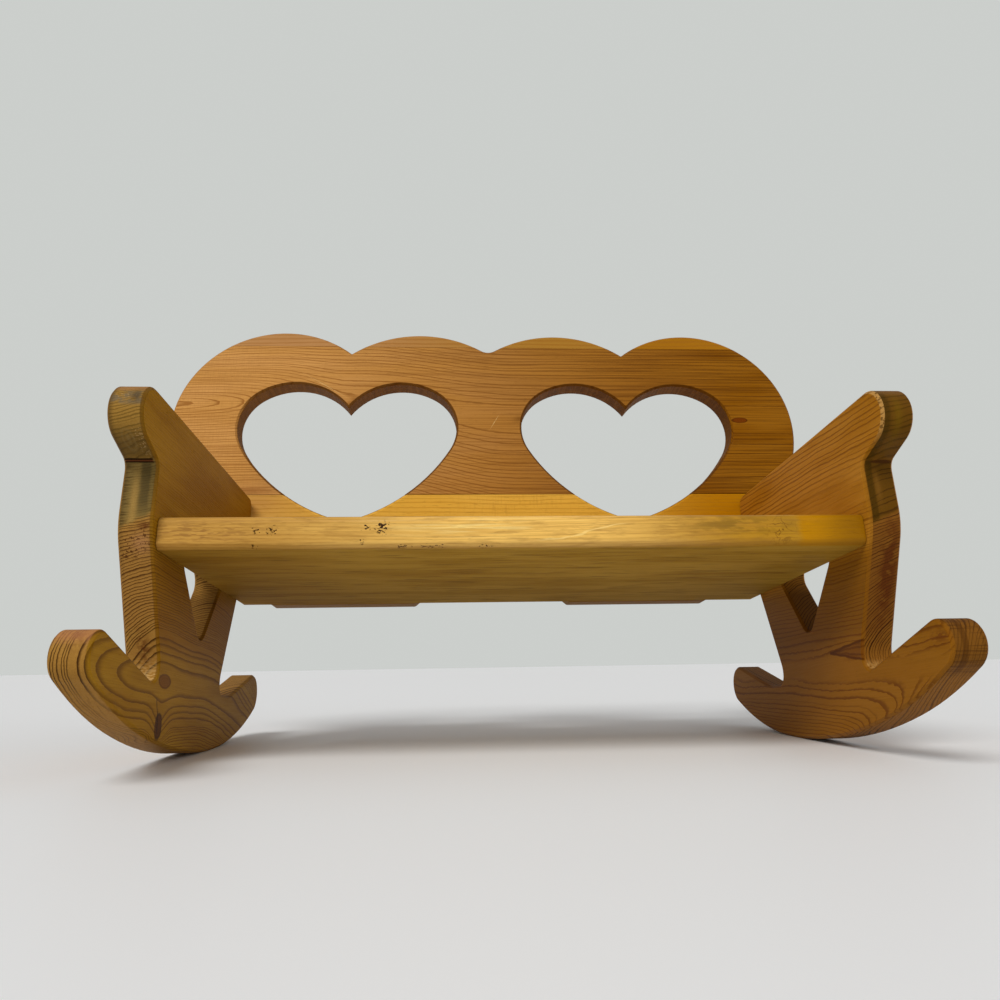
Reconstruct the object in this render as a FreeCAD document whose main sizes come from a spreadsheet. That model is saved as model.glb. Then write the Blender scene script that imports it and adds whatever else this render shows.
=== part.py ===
import FreeCAD, Part
import math
import os

import Sketcher

os.makedirs("parts", exist_ok=True)

# A doll-size rocking bench in sawn pine boards: two end panels that are leg, arm and rocker
# in one, a seat board between them, and a glued-up back sawn to a pair of hearts.
# It is drawn level, seen from its right side: depth runs to the rear from a mark between the
# legs, and height runs up from the lowest point of the rockers. At rest it leans back a little.

SIZES = [
    ("board_thickness", 19, "every board is planed to the same thickness"),
    ("inner_width", 406, "clear width between the end panels"),
    ("seat_depth", 184, "front edge to rear edge of the seat board"),
    ("seat_rear_depth", 107.5, "rear edge of the seat and of the end panels above it"),
    ("seat_height", 108.5, "underside of the seat"),
    ("seat_nosing", 4.5, "rounding of the seat's front corners"),
    ("seat_arris", 0.5, "flat along the seat's other edges"),
    ("edge_easing", 1.6, "flat that is sanded along the sawn edges"),
    ("rocker_radius", 395, "middle stretch of the rocker"),
    ("rocker_low_depth", 27, "lowest point of the rocker"),
    ("rocker_front_radius", 272, "tighter stretch towards the front"),
    ("rocker_front_start", 97, "from the lowest point forward to that stretch"),
    ("rocker_rear_radius", 248, "tighter stretch towards the rear"),
    ("rocker_rear_start", 48, "from the lowest point back to that stretch"),
    ("front_tip_nose", 12.9, "rounding of the rocker's front tip"),
    ("front_tip_depth", 110, "a point on the front tip's upper edge, forward of the mark"),
    ("front_tip_height", 55.2, "the same point"),
    ("front_notch_depth", 50.5, "front edge of the leg at the notch, forward of the mark"),
    ("front_notch_height", 37, "corner of the front notch"),
    ("front_notch_radius", 6, "rounding of the front notch"),
    ("front_ankle_height", 50, "where the leg's front edge starts to slope"),
    ("front_ankle_radius", 18, "rounding there"),
    ("front_knee_depth", 84, "front edge of the leg below the arm, forward of the mark"),
    ("front_knee_height", 119, "where the slope ends"),
    ("front_knee_radius", 45, "rounding there"),
    ("arm_neck_fall", 6, "the arm's underside falls this much from its nose to the leg"),
    ("arm_neck_radius", 6, "rounding there"),
    ("arm_nose_radius", 16.5, "half-round front of the arm"),
    ("arm_reach", 113.5, "front of the arm, forward of the mark"),
    ("arm_height", 195, "top of the arm"),
    ("arm_rear_radius", 8, "rounding of the arm's rear corner"),
    ("rear_knee_height", 157, "where the rear edge starts to slope forward"),
    ("rear_knee_radius", 40, "rounding there"),
    ("rear_notch_depth", 65, "rear edge of the leg at the notch"),
    ("rear_ankle_height", 50, "where the slope ends"),
    ("rear_ankle_radius", 12, "rounding there"),
    ("rear_notch_height", 38.5, "floor of the rear notch"),
    ("rear_notch_radius", 8, "rounding of its front corner"),
    ("rear_notch_width", 25, "length of its floor"),
    ("rear_floor_radius", 40, "rounding from its floor into the rear tip"),
    ("rear_tip_depth", 150, "a point on the rear tip's upper edge"),
    ("rear_tip_height", 58, "the same point"),
    ("rear_tip_nose", 15.1, "rounding of the rocker's rear tip"),
    ("leg_hole_depth", 14.5, "lower corner of the three-sided hole in each end"),
    ("leg_hole_height", 66.5, "the same corner"),
    ("leg_hole_rise", 54.5, "lower corner to the flat top, which lies behind the seat"),
    ("leg_hole_front", 52.8, "lower corner forward to the top's front corner"),
    ("leg_hole_rear", 39.5, "lower corner back to the top's rear corner"),
    ("leg_hole_radius", 8, "rounding of its corners"),
    ("back_offset", 8, "the back sits this far left of the end panels' middle"),
    ("back_height", 350, "top of the two outer lobes"),
    ("outer_lobe_spread", 177, "middle of the back to the middle of an outer lobe"),
    ("outer_lobe_radius", 91.5, "outer lobes"),
    ("inner_lobe_spread", 59.5, "middle of the back to the middle of an inner lobe"),
    ("inner_lobe_radius", 106, "inner lobes"),
    ("inner_lobe_drop", 1.3, "the inner lobes stand this much lower than the outer ones"),
    ("saddle_radius", 12, "rounding between the inner lobes"),
    ("back_foot_reach", 174, "middle of the back to its lower outer corner"),
    ("back_gap_half_width", 62, "half of the opening in the back's lower edge"),
    ("back_gap_rise", 52, "from the lower edge to the point of that opening"),
    ("back_gap_radius", 12, "rounding of that point"),
    ("lower_board_width", 91, "lower board of the back"),
    ("crest_board_height", 13.5, "what is left of the top board above its glue line"),
    ("heart_spread", 120.5, "middle of the back to the middle of a heart"),
    ("heart_height", 300.5, "top of the hearts"),
    ("heart_crown_radius", 56, "upper curve of a heart, from its cleft"),
    ("heart_crown_spread", 45, "middle of a heart to the middle of that curve"),
    ("heart_crown_turn", 32.6, "degrees from the top to where the shoulder takes over"),
    ("heart_shoulder_radius", 37.6, "shoulder of a heart"),
    ("heart_shoulder_turn", 31.9, "degrees below level to where the flank takes over"),
    ("heart_flank_radius", 144, "flank of a heart, down to its point"),
    ("shank_diameter", 4.2, "wood screws"),
    ("screw_length", 38, "under the head"),
    ("head_diameter", 8.4, "screw head"),
    ("head_thickness", 2.4, "screw head"),
    ("shank_clearance", 0.3, "bores over the shank"),
    ("tip_clearance", 1, "pilot bore beyond the end of the screw"),
    ("counterbore_diameter", 9.5, "for the head and the plug"),
    ("counterbore_depth", 6, "for the head and the plug"),
    ("plug_clearance", 0.1, "counterbore over the wooden plug"),
    ("seat_screw_front", 53, "front screw of each end, forward of the mark"),
    ("seat_screw_rear", 75, "rear screw of each end"),
    ("back_screw_reach", 120, "back-to-seat screws from the middle of the back"),
    ("arm_screw_height", 181, "screws through the back into the end panels"),
]

PINE_DENSITY = 500.0
STEEL_DENSITY = 7850.0

doc = FreeCAD.newDocument("rocking_bench")
sheet = doc.addObject("Spreadsheet::Sheet", "sizes")
sheet.set("A1", "name")
sheet.set("B1", "value")
sheet.set("C1", "what it is")
for row, (alias, value, note) in enumerate(SIZES, start=2):
    sheet.set("A%d" % row, alias)
    sheet.set("B%d" % row, str(value))
    sheet.setAlias("B%d" % row, alias)
    sheet.set("C%d" % row, note)
doc.recompute()


class Size:
    """A number together with the sheet expression that it comes from."""

    def __init__(self, number, text):
        self.number = number
        self.text = text

    def combine(self, sign, other):
        if not isinstance(other, Size):
            other = Size(float(other), repr(float(other)))
        results = {
            "+": self.number + other.number,
            "-": self.number - other.number,
            "*": self.number * other.number,
        }
        return Size(results[sign], "(%s %s %s)" % (self.text, sign, other.text))

    def __add__(self, other):
        return self.combine("+", other)

    def __sub__(self, other):
        return self.combine("-", other)

    def __mul__(self, other):
        return self.combine("*", other)

    def __neg__(self):
        return Size(-self.number, "(-%s)" % self.text)

    def sine(self):
        return Size(math.sin(math.radians(self.number)), "sin(%s * 1 deg)" % self.text)

    def cosine(self):
        return Size(math.cos(math.radians(self.number)), "cos(%s * 1 deg)" % self.text)


def size(alias):
    return Size(float(sheet.get(alias)), "sizes." + alias)


def bind(target, name, value):
    target.setExpression(name, value.text)


ZERO = Size(0.0, "0")
board = size("board_thickness")
seat_front = size("seat_rear_depth") - size("seat_depth")
seat_top = size("seat_height") + board
left_inner = size("back_offset") - size("inner_width") * 0.5
right_inner = size("back_offset") + size("inner_width") * 0.5
mid_seat_height = size("seat_height") + board * 0.5
back_front = size("seat_rear_depth")
back_rear = size("seat_rear_depth") + board


# Plane geometry: where a rounding of a given radius touches the two runs beside it.

def left_of(start, end):
    along = (end - start).normalize()
    return FreeCAD.Vector(-along.y, along.x, 0)


class Straight:
    """A run along a line through two points."""

    def __init__(self, start, end):
        self.start = start
        self.end = end

    def foot(self, point):
        along = (self.end - self.start).normalize()
        return self.start + along * (point - self.start).dot(along)


class Round:
    """A run along a circle, turning left (1) or right (-1)."""

    def __init__(self, centre, radius, turn=1):
        self.centre = centre
        self.radius = radius
        self.turn = turn

    def foot(self, point):
        return self.centre + (point - self.centre).normalize() * self.radius


def blend_centre(before, after, radius, turn, near):
    """The centre of a rounding between two runs, nearest to a given point."""
    if isinstance(before, Straight) and isinstance(after, Straight):
        first = before.start + left_of(before.start, before.end) * (radius * turn)
        second = after.start + left_of(after.start, after.end) * (radius * turn)
        along = (before.end - before.start).normalize()
        side = left_of(after.start, after.end)
        return first + along * ((second - first).dot(side) / along.dot(side))
    if isinstance(after, Straight):
        return blend_centre(after, before, radius, turn, near)
    reach = abs(after.radius - after.turn * turn * radius)
    if isinstance(before, Straight):
        shifted = before.start + left_of(before.start, before.end) * (radius * turn)
        along = (before.end - before.start).normalize()
        middle = shifted + along * (after.centre - shifted).dot(along)
        offset = along * math.sqrt(reach ** 2 - (after.centre - middle).Length ** 2)
    else:
        other = abs(before.radius - before.turn * turn * radius)
        between = after.centre - before.centre
        share = (between.Length ** 2 + other ** 2 - reach ** 2) / (2 * between.Length)
        middle = before.centre + between * (share / between.Length)
        side = left_of(before.centre, after.centre)
        offset = side * math.sqrt(other ** 2 - share ** 2)
    return min((middle + offset, middle - offset), key=lambda point: (point - near).Length)


def touch_from(point, circle, side):
    """Where a line from a point touches a circle, on its left (1) or right (-1) going out."""
    between = circle.centre - point
    angle = math.asin(circle.radius / between.Length) * side
    reach = math.sqrt(between.Length ** 2 - circle.radius ** 2)
    turn = FreeCAD.Rotation(FreeCAD.Vector(0, 0, 1), math.degrees(angle))
    return point + turn.multVec(between.normalize()) * reach


def crossing(first, second, upper):
    """The upper or lower crossing of two circles."""
    between = second.centre - first.centre
    share = (between.Length ** 2 + first.radius ** 2 - second.radius ** 2) / (2 * between.Length)
    middle = first.centre + between * (share / between.Length)
    side = left_of(first.centre, second.centre) * math.sqrt(first.radius ** 2 - share ** 2)
    return max((middle + side, middle - side), key=lambda point: point.y * upper)


def at(across, up):
    return FreeCAD.Vector(across.number, up.number, 0)


class Outline:
    """One closed outline in a sketch, drawn anticlockwise and held by the sheet's sizes."""

    def __init__(self, sketch):
        self.sketch = sketch
        self.runs = []

    def constrain(self, kind, *details):
        return self.sketch.addConstraint(Sketcher.Constraint(kind, *details))

    def hold(self, value, kind, *details):
        index = self.constrain(kind, *details, value.number)
        self.sketch.setExpression("Constraints[%d]" % index, value.text)

    def mark(self, across, up):
        """A construction point that lines can pass through."""
        index = self.sketch.addGeometry(Part.Point(at(across, up)), True)
        self.place(index, 1, across, up)
        return index

    def place(self, index, position, across=None, up=None):
        if across is not None:
            self.hold(across, "DistanceX", -1, 1, index, position)
        if up is not None:
            self.hold(up, "DistanceY", -1, 1, index, position)

    def line(self, start, end, *marks):
        index = self.sketch.addGeometry(Part.LineSegment(start, end), False)
        for mark in marks:
            self.constrain("PointOnObject", mark, 1, index)
        self.runs.append((index, 1, 2))
        return index

    def arc(self, centre, radius, start, end, turn=1):
        first, last = (start, end) if turn > 0 else (end, start)
        circle = Part.Circle(centre, FreeCAD.Vector(0, 0, 1), radius.number)
        arc = Part.ArcOfCircle(circle, circle.parameter(first), circle.parameter(last))
        index = self.sketch.addGeometry(arc, False)
        self.hold(radius, "Radius", index)
        self.runs.append((index, 1, 2) if turn > 0 else (index, 2, 1))
        return index

    def close(self, sharp=()):
        """Join each run to the next one, smooth unless the run is named as sharp."""
        for number, (index, _, end) in enumerate(self.runs):
            following, start, _ = self.runs[(number + 1) % len(self.runs)]
            kind = "Coincident" if index in sharp else "Tangent"
            self.constrain(kind, index, end, following, start)


def rounded_polygon(outline, corners):
    """A polygon whose corners are (across, up, radius), all of them rounded, left turns."""
    points = [at(across, up) for across, up, _ in corners]
    sides = [Straight(points[n], points[(n + 1) % len(points)]) for n in range(len(points))]
    marks = [outline.mark(across, up) for across, up, _ in corners]
    centres = [
        blend_centre(sides[n - 1], sides[n], corners[n][2].number, 1, points[n])
        for n in range(len(points))
    ]
    for n, side in enumerate(sides):
        follow = (n + 1) % len(points)
        outline.line(side.foot(centres[n]), side.foot(centres[follow]), marks[n], marks[follow])
        start = side.foot(centres[follow])
        end = sides[follow].foot(centres[follow])
        outline.arc(centres[follow], corners[follow][2], start, end)
    outline.close()


# Document helpers.

def new_sketch(body, name, plane, offset=ZERO):
    """A sketch on one of the body's own planes, moved along the plane's normal."""
    sketch = body.newObject("Sketcher::SketchObject", name)
    origin = next(item for item in body.Origin.OriginFeatures if item.Role == plane)
    sketch.AttachmentSupport = [(origin, "")]
    sketch.MapMode = "FlatFace"
    bind(sketch, ".AttachmentOffset.Base.z", offset)
    return sketch


def pad(body, name, sketch, length, backwards=False):
    feature = body.newObject("PartDesign::Pad", name)
    feature.Profile = sketch
    bind(feature, "Length", length)
    feature.Reversed = backwards
    sketch.Visibility = False
    doc.recompute()
    return feature


def bore(body, name, plane, offset, centres, diameter, depth, forwards):
    """Round bores from a plane, along its normal (forwards) or against it."""
    sketch = new_sketch(body, name + "_centres", plane, offset)
    for across, up in centres:
        circle = Part.Circle(at(across, up), FreeCAD.Vector(0, 0, 1), diameter.number / 2)
        index = sketch.addGeometry(circle, False)
        for value, kind, details in (
            (across, "DistanceX", (-1, 1, index, 3)),
            (up, "DistanceY", (-1, 1, index, 3)),
            (diameter, "Diameter", (index,)),
        ):
            number = sketch.addConstraint(Sketcher.Constraint(kind, *details, value.number))
            sketch.setExpression("Constraints[%d]" % number, value.text)
    doc.recompute()
    before = body.Shape.Volume
    feature = body.newObject("PartDesign::Pocket", name)
    feature.Profile = sketch
    bind(feature, "Length", depth)
    feature.Reversed = forwards
    doc.recompute()
    if not body.Shape.Volume < before:
        raise RuntimeError("bore cut nothing: " + name)
    return feature


def ease_edges(body, base, width, keep):
    """Take the sharpness off the edges that a test on the edge's box picks out."""
    names = [
        "Edge%d" % number
        for number, edge in enumerate(base.Shape.Edges, start=1)
        if keep(edge.BoundBox)
    ]
    feature = body.newObject("PartDesign::Chamfer", base.Name + "_eased")
    feature.Base = (base, names)
    bind(feature, "Size", width)
    doc.recompute()
    return feature


# The end panels: leg, arm and rocker sawn from one board, with a three-sided hole.

def draw_end(sketch):
    outline = Outline(sketch)
    rocker = Round(at(size("rocker_low_depth"), size("rocker_radius")), size("rocker_radius").number)

    def rocker_stretch(junction_depth, radius):
        drop = junction_depth.number - rocker.centre.x
        height = rocker.centre.y - math.sqrt(rocker.radius ** 2 - drop ** 2)
        junction = FreeCAD.Vector(junction_depth.number, height, 0)
        centre = junction + (rocker.centre - junction) * (radius.number / rocker.radius)
        return junction, Round(centre, radius.number)

    front_start = size("rocker_low_depth") - size("rocker_front_start")
    rear_start = size("rocker_low_depth") + size("rocker_rear_start")
    front_junction, front_rocker = rocker_stretch(front_start, size("rocker_front_radius"))
    rear_junction, rear_rocker = rocker_stretch(rear_start, size("rocker_rear_radius"))

    nose_radius = size("arm_nose_radius")
    nose_depth = nose_radius - size("arm_reach")
    neck_height = size("arm_height") - nose_radius * 2 - size("arm_neck_fall")
    back_edge = size("seat_rear_depth")
    rear_floor_end = size("rear_notch_depth") + size("rear_notch_width")
    corners = [
        (size("rear_tip_depth"), size("rear_tip_height"), None, 0),
        (rear_floor_end, size("rear_notch_height"), size("rear_floor_radius"), -1),
        (size("rear_notch_depth"), size("rear_notch_height"), size("rear_notch_radius"), -1),
        (size("rear_notch_depth"), size("rear_ankle_height"), size("rear_ankle_radius"), -1),
        (back_edge, size("rear_knee_height"), size("rear_knee_radius"), 1),
        (back_edge, size("arm_height"), size("arm_rear_radius"), 1),
        (-size("arm_reach"), size("arm_height"), None, 0),
    ]
    front_corners = [
        (-size("front_knee_depth"), neck_height, size("arm_neck_radius"), -1),
        (-size("front_knee_depth"), size("front_knee_height"), size("front_knee_radius"), 1),
        (-size("front_notch_depth"), size("front_ankle_height"), size("front_ankle_radius"), -1),
        (-size("front_notch_depth"), size("front_notch_height"), size("front_notch_radius"), -1),
        (-size("front_tip_depth"), size("front_tip_height"), None, 0),
    ]

    def sides_of(chain):
        points = [at(across, up) for across, up, _, _ in chain]
        return [Straight(start, end) for start, end in zip(points, points[1:])]

    rear_sides = sides_of(corners)
    front_sides = sides_of(front_corners)
    nose = Round(at(nose_depth, size("arm_height") - nose_radius), nose_radius.number)
    neck = at(*front_corners[0][:2])
    nose_touch = touch_from(neck, nose, 1)
    underside = Straight(nose_touch, neck)

    def run_chain(chain, sides, start, end):
        """Lines through the chain's corners with a rounding at each inner corner."""
        marks = [outline.mark(across, up) for across, up, _, _ in chain]
        here = start
        for number, side in enumerate(sides[:-1], start=1):
            _, _, radius, turn = chain[number]
            follow = sides[number]
            centre = blend_centre(side, follow, radius.number, turn, here)
            outline.line(here, side.foot(centre), marks[number - 1], marks[number])
            outline.arc(centre, radius, side.foot(centre), follow.foot(centre), turn)
            here = follow.foot(centre)
        outline.line(here, end, marks[-2], marks[-1])

    rear_tip = at(*corners[0][:2])
    rear_nose_radius = size("rear_tip_nose")
    rear_nose = blend_centre(rear_rocker, rear_sides[0], rear_nose_radius.number, 1,
                             rear_tip + FreeCAD.Vector(rear_nose_radius.number, 0, 0))
    front_tip = at(*front_corners[-1][:2])
    front_nose_radius = size("front_tip_nose")
    front_nose = blend_centre(front_sides[-1], front_rocker, front_nose_radius.number, 1,
                              front_tip - FreeCAD.Vector(front_nose_radius.number, 0, 0))

    middle = outline.arc(rocker.centre, size("rocker_radius"), front_junction, rear_junction)
    outline.place(middle, 3, size("rocker_low_depth"), size("rocker_radius"))
    outline.place(middle, 1, across=front_start)
    outline.place(middle, 2, across=rear_start)
    outline.arc(rear_rocker.centre, size("rocker_rear_radius"), rear_junction,
                rear_rocker.foot(rear_nose))
    outline.arc(rear_nose, rear_nose_radius, rear_rocker.foot(rear_nose),
                rear_sides[0].foot(rear_nose))
    run_chain(corners, rear_sides, rear_sides[0].foot(rear_nose), rear_sides[-1].foot(nose.centre))
    nose_arc = outline.arc(nose.centre, nose_radius, rear_sides[-1].foot(nose.centre), nose_touch)
    outline.place(nose_arc, 3, across=nose_depth)

    neck_radius, neck_turn = front_corners[0][2:]
    neck_centre = blend_centre(underside, front_sides[0], neck_radius.number, neck_turn, neck)
    neck_mark = outline.mark(*front_corners[0][:2])
    outline.line(nose_touch, underside.foot(neck_centre), neck_mark)
    outline.arc(neck_centre, neck_radius, underside.foot(neck_centre),
                front_sides[0].foot(neck_centre), neck_turn)
    run_chain(front_corners, front_sides, front_sides[0].foot(neck_centre),
              front_sides[-1].foot(front_nose))
    outline.arc(front_nose, front_nose_radius, front_sides[-1].foot(front_nose),
                front_rocker.foot(front_nose))
    outline.arc(front_rocker.centre, size("rocker_front_radius"),
                front_rocker.foot(front_nose), front_junction)
    outline.close()

    hole_top = size("leg_hole_height") + size("leg_hole_rise")
    rounded_polygon(Outline(sketch), [
        (size("leg_hole_depth"), size("leg_hole_height"), size("leg_hole_radius")),
        (size("leg_hole_depth") + size("leg_hole_rear"), hole_top, size("leg_hole_radius")),
        (size("leg_hole_depth") - size("leg_hole_front"), hole_top, size("leg_hole_radius")),
    ])


def make_end(name, inner_face, side):
    """An end panel that grows outwards (side 1 is right, -1 is left) from its inner face."""
    body = doc.addObject("PartDesign::Body", name)
    sketch = new_sketch(body, name + "_outline", "YZ_Plane", inner_face)
    draw_end(sketch)
    doc.recompute()
    panel = pad(body, name + "_panel", sketch, board, backwards=side < 0)
    ease_edges(body, panel, size("edge_easing"), lambda box: box.XLength < 0.01)
    outer_face = inner_face + board * side
    seat_screws = [
        (-size("seat_screw_front"), mid_seat_height),
        (size("seat_screw_rear"), mid_seat_height),
    ]
    clear = size("shank_diameter") + size("shank_clearance")
    bore(body, name + "_seat_bores", "YZ_Plane", inner_face, seat_screws, clear, board, side > 0)
    bore(body, name + "_counterbores", "YZ_Plane", outer_face, seat_screws,
         size("counterbore_diameter"), size("counterbore_depth"), side < 0)
    arm_screw = [(inner_face + board * (0.5 * side), size("arm_screw_height"))]
    pilot = size("screw_length") + size("counterbore_depth") + size("tip_clearance") - board
    bore(body, name + "_arm_pilot", "XZ_Plane", -size("seat_rear_depth"), arm_screw, clear,
         pilot, True)
    return body


# The seat: one wide board, butted between the ends, with rounded front corners.

def make_seat():
    body = doc.addObject("PartDesign::Body", "seat_board")
    sketch = new_sketch(body, "seat_section", "YZ_Plane", left_inner)
    outline = Outline(sketch)
    nosing = size("seat_nosing")
    front_low = at(seat_front + nosing, size("seat_height"))
    rear_low = at(size("seat_rear_depth"), size("seat_height"))
    rear_high = at(size("seat_rear_depth"), seat_top)
    front_high = at(seat_front + nosing, seat_top)
    face_low = at(seat_front, size("seat_height") + nosing)
    face_high = at(seat_front, seat_top - nosing)
    under = outline.line(front_low, rear_low)
    rear = outline.line(rear_low, rear_high)
    top = outline.line(rear_high, front_high)
    outline.arc(at(seat_front + nosing, seat_top - nosing), nosing, front_high, face_high)
    face = outline.line(face_high, face_low)
    outline.arc(at(seat_front + nosing, size("seat_height") + nosing), nosing, face_low, front_low)
    outline.close(sharp=(under, rear))
    for flat in (under, top):
        outline.constrain("Horizontal", flat)
    for upright in (rear, face):
        outline.constrain("Vertical", upright)
    outline.place(under, 2, size("seat_rear_depth"), size("seat_height"))
    outline.place(rear, 2, up=seat_top)
    outline.place(face, 1, across=seat_front)
    doc.recompute()
    plank = pad(body, "seat_length", sketch, size("inner_width"))
    rear_edge = size("seat_rear_depth").number - 0.01
    ease_edges(body, plank, size("seat_arris"),
               lambda box: box.XLength < 0.01 or box.YMin > rear_edge)
    pilot = size("screw_length") + size("counterbore_depth") + size("tip_clearance") - board
    diameter = size("shank_diameter") + size("shank_clearance")
    end_screws = [
        (-size("seat_screw_front"), mid_seat_height),
        (size("seat_screw_rear"), mid_seat_height),
    ]
    bore(body, "seat_left_pilots", "YZ_Plane", left_inner, end_screws, diameter, pilot, True)
    bore(body, "seat_right_pilots", "YZ_Plane", right_inner, end_screws, diameter, pilot, False)
    bore(body, "seat_rear_pilots", "XZ_Plane", -size("seat_rear_depth"), seat_back_screws(),
         diameter, pilot, True)
    return body


def seat_back_screws():
    """Screws through the back into the rear edge of the seat."""
    return [(size("back_screw_reach") * side, mid_seat_height) for side in (-1, 1)]


def arm_back_screws():
    """Screws through the back into the rear edges of the end panels."""
    return [
        (left_inner - board * 0.5, size("arm_screw_height")),
        (right_inner + board * 0.5, size("arm_screw_height")),
    ]


# The back: three boards glued edge to edge, then sawn to four lobes round two hearts.

def draw_back(sketch):
    outline = Outline(sketch)
    lobes = {}
    for kind, drop in (("inner", size("inner_lobe_drop")), ("outer", ZERO)):
        radius = size(kind + "_lobe_radius")
        middle = (size(kind + "_lobe_spread"), size("back_height") - drop - radius)
        lobes[kind] = (middle, radius)

    def lobe(kind, side):
        (across, up), radius = lobes[kind]
        return Round(at(across * side, up), radius.number)

    foot = (size("back_foot_reach"), size("seat_height"))
    gap = (size("back_gap_half_width"), size("seat_height"))
    peak = (ZERO, size("seat_height") + size("back_gap_rise"))
    notch = {side: crossing(lobe("inner", side), lobe("outer", side), 1) for side in (-1, 1)}
    saddle_radius = size("saddle_radius")
    saddle = blend_centre(lobe("inner", 1), lobe("inner", -1), saddle_radius.number, -1,
                          at(ZERO, size("back_height")))
    gap_side = {side: Straight(at(gap[0] * side, gap[1]), at(*peak)) for side in (-1, 1)}
    gap_radius = size("back_gap_radius")
    gap_centre = blend_centre(gap_side[-1], Straight(at(*peak), at(*gap)), gap_radius.number, -1,
                              at(*peak))
    side_touch = {
        side: touch_from(at(foot[0] * side, foot[1]), lobe("outer", side), -side)
        for side in (-1, 1)
    }
    sharp = []

    def lobe_arc(kind, side, start, end):
        (across, up), radius = lobes[kind]
        index = outline.arc(at(across * side, up), radius, start, end)
        outline.place(index, 3, across * side, up)
        return index

    marks = {
        side: [outline.mark(foot[0] * side, foot[1]), outline.mark(gap[0] * side, gap[1])]
        for side in (-1, 1)
    }
    peak_mark = outline.mark(*peak)
    sharp.append(outline.line(at(*gap), at(*foot), *marks[1]))
    outline.line(at(*foot), side_touch[1], marks[1][0])
    sharp.append(lobe_arc("outer", 1, side_touch[1], notch[1]))
    lobe_arc("inner", 1, notch[1], lobe("inner", 1).foot(saddle))
    outline.arc(saddle, saddle_radius, lobe("inner", 1).foot(saddle),
                lobe("inner", -1).foot(saddle), -1)
    sharp.append(lobe_arc("inner", -1, lobe("inner", -1).foot(saddle), notch[-1]))
    lobe_arc("outer", -1, notch[-1], side_touch[-1])
    sharp.append(outline.line(side_touch[-1], at(foot[0] * -1, foot[1]), marks[-1][0]))
    sharp.append(outline.line(at(foot[0] * -1, foot[1]), at(gap[0] * -1, gap[1]), *marks[-1]))
    outline.line(at(gap[0] * -1, gap[1]), gap_side[-1].foot(gap_centre), marks[-1][1], peak_mark)
    outline.arc(gap_centre, gap_radius, gap_side[-1].foot(gap_centre),
                gap_side[1].foot(gap_centre), -1)
    sharp.append(outline.line(gap_side[1].foot(gap_centre), at(*gap), peak_mark, marks[1][1]))
    outline.close(sharp)


def draw_heart(sketch, middle):
    """A heart from three curves on each side: crown, shoulder and flank."""
    outline = Outline(sketch)
    crown_radius = size("heart_crown_radius")
    crown_out = size("heart_crown_spread")
    shoulder_radius = size("heart_shoulder_radius")
    flank_radius = size("heart_flank_radius")
    crown_up = size("heart_height") - crown_radius
    crown_turn = size("heart_crown_turn")
    shoulder_turn = size("heart_shoulder_turn")
    shoulder_out = crown_out + (crown_radius - shoulder_radius) * crown_turn.sine()
    shoulder_up = crown_up + (crown_radius - shoulder_radius) * crown_turn.cosine()
    flank_out = shoulder_out - (flank_radius - shoulder_radius) * shoulder_turn.cosine()
    flank_up = shoulder_up + (flank_radius - shoulder_radius) * shoulder_turn.sine()

    def curve(out, up, radius, side):
        return Round(at(middle + out * side, up), radius.number)

    def parts(side):
        return (
            curve(crown_out, crown_up, crown_radius, side),
            curve(shoulder_out, shoulder_up, shoulder_radius, side),
            curve(flank_out, flank_up, flank_radius, side),
        )

    crown, shoulder, flank = parts(1)
    left_crown, left_shoulder, left_flank = parts(-1)
    cleft = crossing(crown, left_crown, 1)
    point = crossing(flank, left_flank, -1)

    def meeting(wide, tight):
        """Where a tight curve takes over from a wide one that it lies inside."""
        return wide.foot(tight.centre)

    def draw(out, up, radius, side, start, end):
        """One curve; the shoulders take their place from the curves beside them."""
        index = outline.arc(at(middle + out * side, up), radius, start, end)
        if radius is not shoulder_radius:
            outline.place(index, 3, middle + out * side, up)
        return index

    draw(flank_out, flank_up, flank_radius, 1, point, meeting(flank, shoulder))
    draw(shoulder_out, shoulder_up, shoulder_radius, 1, meeting(flank, shoulder),
         meeting(crown, shoulder))
    to_cleft = draw(crown_out, crown_up, crown_radius, 1, meeting(crown, shoulder), cleft)
    draw(crown_out, crown_up, crown_radius, -1, cleft, meeting(left_crown, left_shoulder))
    draw(shoulder_out, shoulder_up, shoulder_radius, -1, meeting(left_crown, left_shoulder),
         meeting(left_flank, left_shoulder))
    to_point = draw(flank_out, flank_up, flank_radius, -1, meeting(left_flank, left_shoulder),
                    point)
    outline.close(sharp=(to_cleft, to_point))


def make_back_blank():
    """The glued-up back as one sawn and bored panel, before it is told apart into boards."""
    body = doc.addObject("PartDesign::Body", "back_blank")
    sketch = new_sketch(body, "back_outline", "XZ_Plane", -back_front)
    draw_back(sketch)
    draw_heart(sketch, size("heart_spread"))
    draw_heart(sketch, -size("heart_spread"))
    doc.recompute()
    panel = pad(body, "back_panel", sketch, board, backwards=True)
    ease_edges(body, panel, size("edge_easing"), lambda box: box.YLength < 0.01)
    screws = seat_back_screws() + arm_back_screws()
    clear = size("shank_diameter") + size("shank_clearance")
    bore(body, "back_bores", "XZ_Plane", -back_front, screws, clear, board, False)
    bore(body, "back_counterbores", "XZ_Plane", -back_rear, screws,
         size("counterbore_diameter"), size("counterbore_depth"), True)
    return body


def make_back_board(name, blank, left, right, low, high):
    """The stretch of the sawn back between two sides and two glue lines."""
    box = doc.addObject("Part::Box", name + "_stock")
    bind(box, "Length", right - left)
    bind(box, "Width", board)
    bind(box, "Height", high - low)
    bind(box, ".Placement.Base.x", left)
    bind(box, ".Placement.Base.y", back_front)
    bind(box, ".Placement.Base.z", low)
    common = doc.addObject("Part::Common", name)
    common.Base = blank
    common.Tool = box
    return common


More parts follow.
